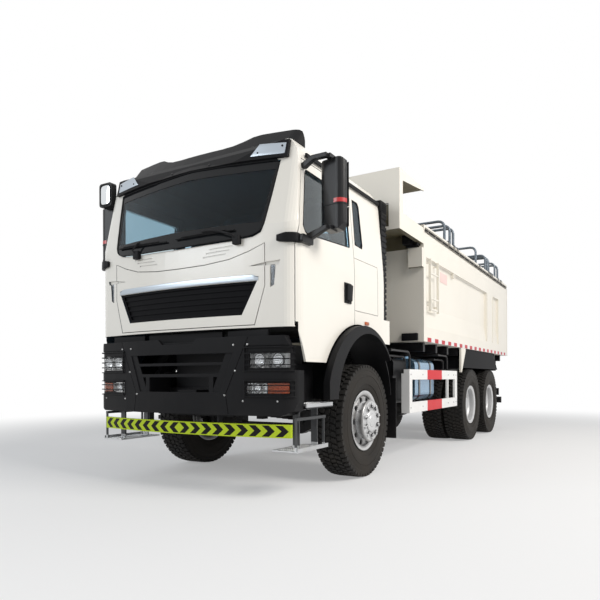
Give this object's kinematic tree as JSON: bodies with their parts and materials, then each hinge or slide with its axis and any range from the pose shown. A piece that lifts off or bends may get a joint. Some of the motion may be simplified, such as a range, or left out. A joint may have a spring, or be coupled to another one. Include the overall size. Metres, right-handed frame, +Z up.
{
  "type": "three-axle tipper dump truck",
  "caption": "Forward-control tipper truck with a steel tipping body, headboard over the cab, twin rear wheels and side guards.",
  "frame": {"origin": "ground level, under the middle of the vehicle's length and width", "axes": "+X to the vehicle's left, -Y forward, +Z up"},
  "size_m": [2.8854, 8.405, 3.33],
  "materials": {
    "cream_paint": "gloss cream body paint, light orange peel",
    "body_paint": "satin cream paint on welded steel plate",
    "black_plastic": "grained black moulded plastic",
    "gloss_black": "black plastic, half gloss",
    "chassis_black": "satin black chassis paint",
    "tyre_rubber": "dull tyre rubber with light dust",
    "wheel_silver": "silver wheel enamel",
    "tread_alloy": "cast and pressed aluminium, brushed",
    "tank_alloy": "polished aluminium, faint blue reflection",
    "hoist_chrome": "hard chromed steel",
    "window_glass": "tinted safety glass",
    "lamp_clear": "clear lamp lens over bright reflectors, amber turn signals",
    "lamp_red": "red lens",
    "chevron_film": "fluorescent yellow-green and black chevrons",
    "cab_trim": "grey-black trim and fabric",
    "bow_steel": "dark galvanised tube",
    "guard_white": "white paint with red bands"
  },
  "bodies": {
    "chassis": {"frame_rails": "chassis_black", "cross_members": "chassis_black", "frame_fittings": "chassis_black", "engine": "chassis_black", "front_bumper": "black_plastic", "front_lamps": "lamp_clear", "tail_lamps": "lamp_red", "chevron_bar": "chevron_film", "cab_steps": "tread_alloy", "front_mudguards": "black_plastic", "front_axle": "chassis_black", "drive_axles": "chassis_black", "fuel_tank": "tank_alloy", "battery_box": "black_plastic", "silencer": "chassis_black", "side_guards": "guard_white"},
    "knuckle_left": {"knuckle_left": "chassis_black"},
    "knuckle_right": {"knuckle_right": "chassis_black"},
    "track_rod": {"track_rod": "chassis_black"},
    "front_wheel_left": {"front_tyre_left": "tyre_rubber", "front_wheel_left": "wheel_silver"},
    "front_wheel_right": {"front_tyre_right": "tyre_rubber", "front_wheel_right": "wheel_silver"},
    "twin_wheels_1_left": {"drive_tyres_1_left": "tyre_rubber", "drive_wheels_1_left": "wheel_silver"},
    "twin_wheels_1_right": {"drive_tyres_1_right": "tyre_rubber", "drive_wheels_1_right": "wheel_silver"},
    "twin_wheels_2_left": {"drive_tyres_2_left": "tyre_rubber", "drive_wheels_2_left": "wheel_silver"},
    "twin_wheels_2_right": {"drive_tyres_2_right": "tyre_rubber", "drive_wheels_2_right": "wheel_silver"},
    "cab": {"cab_shell": "cream_paint", "cab_pivots": "chassis_black", "roof_visor": "black_plastic", "cab_glass": "window_glass", "cab_interior": "cab_trim", "intake_stack": "black_plastic", "wipers": "gloss_black"},
    "door_left": {"door_left": "cream_paint", "door_glass_left": "window_glass", "mirror_left": "gloss_black"},
    "door_right": {"door_right": "cream_paint", "door_glass_right": "window_glass", "mirror_right": "gloss_black"},
    "front_flap": {"front_flap": "cream_paint", "front_grille": "gloss_black"},
    "tipping_body": {"bed_floor": "body_paint", "bed_sides": "body_paint", "bed_front": "body_paint", "cover_bows": "bow_steel", "bed_mudguards": "black_plastic"},
    "tailgate": {"tailgate": "body_paint"},
    "hoist_barrel": {"hoist_barrel": "chassis_black"},
    "hoist_stage_1": {"hoist_stage_1": "hoist_chrome"},
    "hoist_stage_2": {"hoist_stage_2": "hoist_chrome"},
    "hoist_stage_3": {"hoist_stage_3": "hoist_chrome"},
    "hoist_stage_4": {"hoist_stage_4": "hoist_chrome"}
  },
  "joints": [
    {"name": "steer_left", "type": "hinge", "parent": "chassis", "child": "knuckle_left", "pos_m": [0.815, -2.74, 0.561], "axis": [0, 0, 1], "range_deg": [-35, 35]},
    {"name": "steer_right", "type": "hinge", "parent": "chassis", "child": "knuckle_right", "pos_m": [-0.815, -2.74, 0.561], "axis": [0, 0, 1], "range_deg": [-35, 35]},
    {"name": "track_rod_swing", "type": "hinge", "parent": "knuckle_left", "child": "track_rod", "pos_m": [0.815, -2.5, 0.417], "axis": [0, 0, 1], "range_deg": [-35, 35]},
    {"name": "spin_front_left", "type": "hinge", "parent": "knuckle_left", "child": "front_wheel_left", "pos_m": [1, -2.74, 0.561], "axis": [1, 0, 0], "continuous": true},
    {"name": "spin_front_right", "type": "hinge", "parent": "knuckle_right", "child": "front_wheel_right", "pos_m": [-1, -2.74, 0.561], "axis": [1, 0, 0], "continuous": true},
    {"name": "spin_twin_1_left", "type": "hinge", "parent": "chassis", "child": "twin_wheels_1_left", "pos_m": [0.92, 1.085, 0.561], "axis": [1, 0, 0], "continuous": true},
    {"name": "spin_twin_1_right", "type": "hinge", "parent": "chassis", "child": "twin_wheels_1_right", "pos_m": [-0.92, 1.085, 0.561], "axis": [1, 0, 0], "continuous": true},
    {"name": "spin_twin_2_left", "type": "hinge", "parent": "chassis", "child": "twin_wheels_2_left", "pos_m": [0.92, 2.435, 0.561], "axis": [1, 0, 0], "continuous": true},
    {"name": "spin_twin_2_right", "type": "hinge", "parent": "chassis", "child": "twin_wheels_2_right", "pos_m": [-0.92, 2.435, 0.561], "axis": [1, 0, 0], "continuous": true},
    {"name": "cab_tilt", "type": "hinge", "parent": "chassis", "child": "cab", "pos_m": [0, -4.04, 0.9], "axis": [1, 0, 0], "range_deg": [0, 50]},
    {"name": "door_left_swing", "type": "hinge", "parent": "cab", "child": "door_left", "pos_m": [1.13, -4.03, 1.9], "axis": [0, 0, -1], "range_deg": [0, 70]},
    {"name": "door_right_swing", "type": "hinge", "parent": "cab", "child": "door_right", "pos_m": [-1.13, -4.03, 1.9], "axis": [0, 0, 1], "range_deg": [0, 70]},
    {"name": "front_flap_lift", "type": "hinge", "parent": "cab", "child": "front_flap", "pos_m": [0, -4.168, 2.092], "axis": [-1, 0, 0], "range_deg": [0, 70]},
    {"name": "body_tip", "type": "hinge", "parent": "chassis", "child": "tipping_body", "pos_m": [0, 3.61, 1.15], "axis": [-1, 0, 0], "range_deg": [0, 50]},
    {"name": "tailgate_swing", "type": "hinge", "parent": "tipping_body", "child": "tailgate", "pos_m": [0, 4.005, 2.93], "axis": [1, 0, 0], "range_deg": [0, 80]},
    {"name": "hoist_lean", "type": "hinge", "parent": "chassis", "child": "hoist_barrel", "pos_m": [0, -1.68, 1], "axis": [-1, 0, 0], "range_deg": [0, 30]},
    {"name": "hoist_slide_1", "type": "slide", "parent": "hoist_barrel", "child": "hoist_stage_1", "axis": [0, 0, 1], "range_m": [0, 1.095]},
    {"name": "hoist_slide_2", "type": "slide", "parent": "hoist_stage_1", "child": "hoist_stage_2", "axis": [0, 0, 1], "range_m": [0, 1.095]},
    {"name": "hoist_slide_3", "type": "slide", "parent": "hoist_stage_2", "child": "hoist_stage_3", "axis": [0, 0, 1], "range_m": [0, 1.095]},
    {"name": "hoist_slide_4", "type": "slide", "parent": "hoist_stage_3", "child": "hoist_stage_4", "axis": [0, 0, 1], "range_m": [0, 1.095]}
  ],
  "couplings": [
    {"joint": "steer_right", "follows": "steer_left", "ratio": 1},
    {"joint": "track_rod_swing", "follows": "steer_left", "ratio": -1},
    {"joint": "hoist_lean", "follows": "body_tip", "ratio": 0.596},
    {"joint": "hoist_slide_1", "follows": "body_tip", "m_per_rad": 1.2479},
    {"joint": "hoist_slide_2", "follows": "body_tip", "m_per_rad": 1.2479},
    {"joint": "hoist_slide_3", "follows": "body_tip", "m_per_rad": 1.2479},
    {"joint": "hoist_slide_4", "follows": "body_tip", "m_per_rad": 1.2479}
  ]
}
